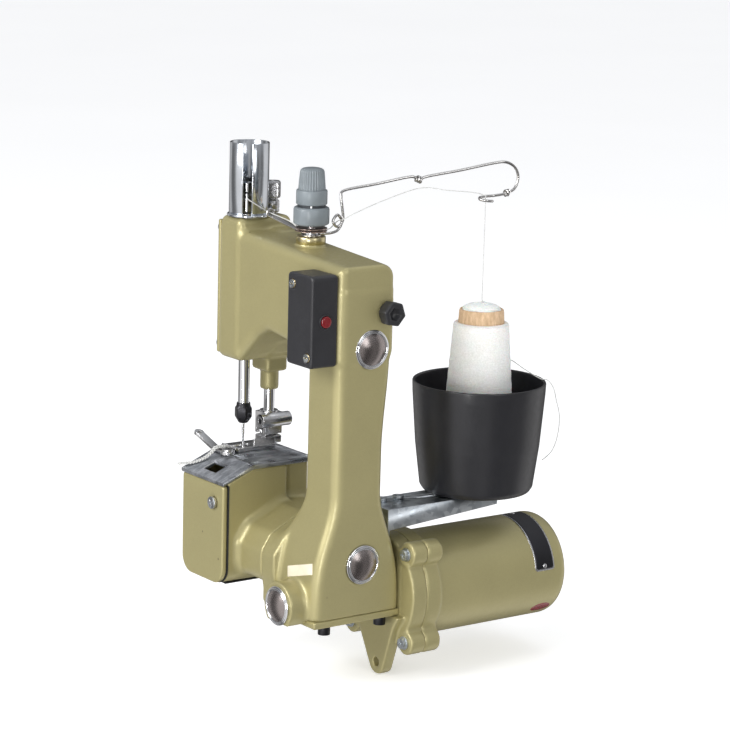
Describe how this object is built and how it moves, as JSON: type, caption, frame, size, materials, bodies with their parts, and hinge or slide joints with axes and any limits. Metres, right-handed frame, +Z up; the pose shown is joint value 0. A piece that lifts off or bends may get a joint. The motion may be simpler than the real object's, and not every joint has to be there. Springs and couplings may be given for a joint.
{
  "type": "portable bag closing sewing machine",
  "caption": "Portable chain-stitch bag closer: cast column, arm and bed, motor, thread cone in a bowl, needle, presser foot and tension unit.",
  "frame": {"origin": "centre of the hanging hole in the gearbox ear, at mid thickness of the ear", "axes": "+X out of the column's end face, away from the needle; +Y from the front towards the motor; +Z up"},
  "size_m": [0.1873, 0.2298, 0.3565],
  "materials": {
    "painted_casting": "hammer-textured metallic gold-olive enamel, satin",
    "black_plastic": "moulded black plastic, fine satin grain",
    "black_steel": "black-oxide steel, satin",
    "chrome_plate": "bright chrome plate",
    "machined_steel": "ground and turned steel",
    "zinc_steel": "zinc-plated steel with a faint spangle",
    "iron_laminations": "varnished laminations",
    "copper_winding": "enamelled copper wire",
    "bronze": "sintered bronze",
    "nylon": "natural nylon",
    "belt_rubber": "black rubber",
    "grey_plastic": "blue-grey moulded plastic, satin",
    "red_plastic": "translucent red plastic",
    "thread": "twisted white polyester thread",
    "yarn": "cross-wound white yarn",
    "paper_core": "tan pressed paper",
    "nameplate_black": "black printed aluminium plate with a bare border"
  },
  "bodies": {
    "root": {"body_casting": "painted_casting", "bed_casting": "painted_casting", "face_plate": "painted_casting", "rear_cover": "painted_casting", "looper_cover": "painted_casting", "base_plate": "painted_casting", "box_floor": "black_plastic", "cover_screws": "zinc_steel", "base_screws": "black_steel", "needle_plate": "zinc_steel", "end_caps": "chrome_plate", "oil_plug": "black_plastic", "gearbox_flange": "painted_casting", "motor_housing": "painted_casting", "motor_screws": "zinc_steel", "stator": "iron_laminations", "brushes": "iron_laminations", "ball_bearings": "machined_steel", "shaft_bushes": "bronze", "drive_belt": "belt_rubber", "needle_guard": "chrome_plate", "thread_guide": "machined_steel", "tension_post": "chrome_plate", "tension_discs": "chrome_plate", "guide_wire": "machined_steel", "switch_box": "black_plastic", "switch_unit": "black_plastic", "cord_gland": "black_plastic", "bowl_bracket": "zinc_steel", "thread_bowl": "black_plastic", "cone_core": "paper_core", "thread_package": "yarn", "nameplate": "nameplate_black", "needle_thread": "thread", "chain_tail": "thread", "loose_thread": "thread"},
    "rotor": {"motor_shaft": "machined_steel", "armature": "copper_winding", "cooling_fan": "black_plastic"},
    "wheel_shaft": {"lower_shaft": "machined_steel", "worm_wheel": "nylon", "lower_pulley": "machined_steel"},
    "arm_shaft": {"upper_shaft": "machined_steel", "upper_pulley": "machined_steel", "needle_crank": "machined_steel"},
    "needle_drive": {"needle_bar": "chrome_plate", "needle_clamp": "black_steel", "needle": "chrome_plate"},
    "link": {"needle_link": "machined_steel"},
    "presser": {"presser_bar": "chrome_plate", "presser_spring": "machined_steel", "foot_holder": "machined_steel"},
    "foot": {"presser_foot": "machined_steel"},
    "presser_adjuster": {"presser_screw": "machined_steel"},
    "lifter": {"lifter_lever": "machined_steel"},
    "looper_rocker": {"looper": "chrome_plate"},
    "feed": {"feed_dog": "machined_steel"},
    "knife": {"knife_lever": "machined_steel"},
    "tension_dial": {"tension_knob": "grey_plastic"},
    "button": {"switch_button": "red_plastic"}
  },
  "joints": [
    {"name": "motor_spin", "type": "hinge", "parent": "root", "child": "rotor", "pos_m": [-0.007, 0.0295, 0.05], "axis": [0, 1, 0], "continuous": true},
    {"name": "wheel_spin", "type": "hinge", "parent": "root", "child": "wheel_shaft", "pos_m": [-0.007, -0.0309, 0.0773], "axis": [1, 0, 0], "continuous": true},
    {"name": "arm_shaft_spin", "type": "hinge", "parent": "root", "child": "arm_shaft", "pos_m": [-0.042, -0.0279, 0.2246], "axis": [1, 0, 0], "continuous": true},
    {"name": "needle_stroke", "type": "slide", "parent": "root", "child": "needle_drive", "axis": [0, 0, 1], "range_m": [-0.009, 0.017]},
    {"name": "link_swing", "type": "hinge", "parent": "needle_drive", "child": "link", "pos_m": [-0.107, -0.041, 0.2506], "axis": [1, 0, 0], "range_deg": [-2, 28]},
    {"name": "presser_lift", "type": "slide", "parent": "root", "child": "presser", "axis": [0, 0, 1], "range_m": [0, 0.0064], "deforming": ["presser_spring"]},
    {"name": "foot_tilt", "type": "hinge", "parent": "presser", "child": "foot", "pos_m": [-0.115, -0.0195, 0.1435], "axis": [1, 0, 0], "range_deg": [-8, 0]},
    {"name": "presser_adjust", "type": "hinge", "parent": "root", "child": "presser_adjuster", "pos_m": [-0.115, -0.0195, 0.302], "axis": [0, 0, 1], "range_deg": [-720, 720]},
    {"name": "lifter_swing", "type": "hinge", "parent": "root", "child": "lifter", "pos_m": [-0.1075, -0.0105, 0.2092], "axis": [0, 1, 0], "range_deg": [0, 39]},
    {"name": "looper_rock", "type": "hinge", "parent": "root", "child": "looper_rocker", "pos_m": [-0.102, -0.0565, 0.092], "axis": [1, 0, 0], "range_deg": [-12, 12]},
    {"name": "feed_stroke", "type": "slide", "parent": "root", "child": "feed", "axis": [0, 1, 0], "range_m": [-0.0035, 0.0035]},
    {"name": "knife_swing", "type": "hinge", "parent": "root", "child": "knife", "pos_m": [-0.106, -0.0595, 0.132], "axis": [0, 0, 1], "range_deg": [-4, 12]},
    {"name": "tension_turn", "type": "hinge", "parent": "root", "child": "tension_dial", "pos_m": [-0.049, -0.0325, 0.312], "axis": [0, 0, 1], "range_deg": [-360, 360]},
    {"name": "button_press", "type": "slide", "parent": "root", "child": "button", "axis": [-1, 0, 0], "range_m": [0, 0.0022], "stiffness_N_per_m": 600}
  ],
  "couplings": [
    {"joint": "wheel_spin", "follows": "motor_spin", "ratio": -0.1},
    {"joint": "arm_shaft_spin", "follows": "motor_spin", "ratio": -0.1},
    {"joint": "lifter_swing", "follows": "presser_lift", "rad_per_m": 103.89}
  ]
}
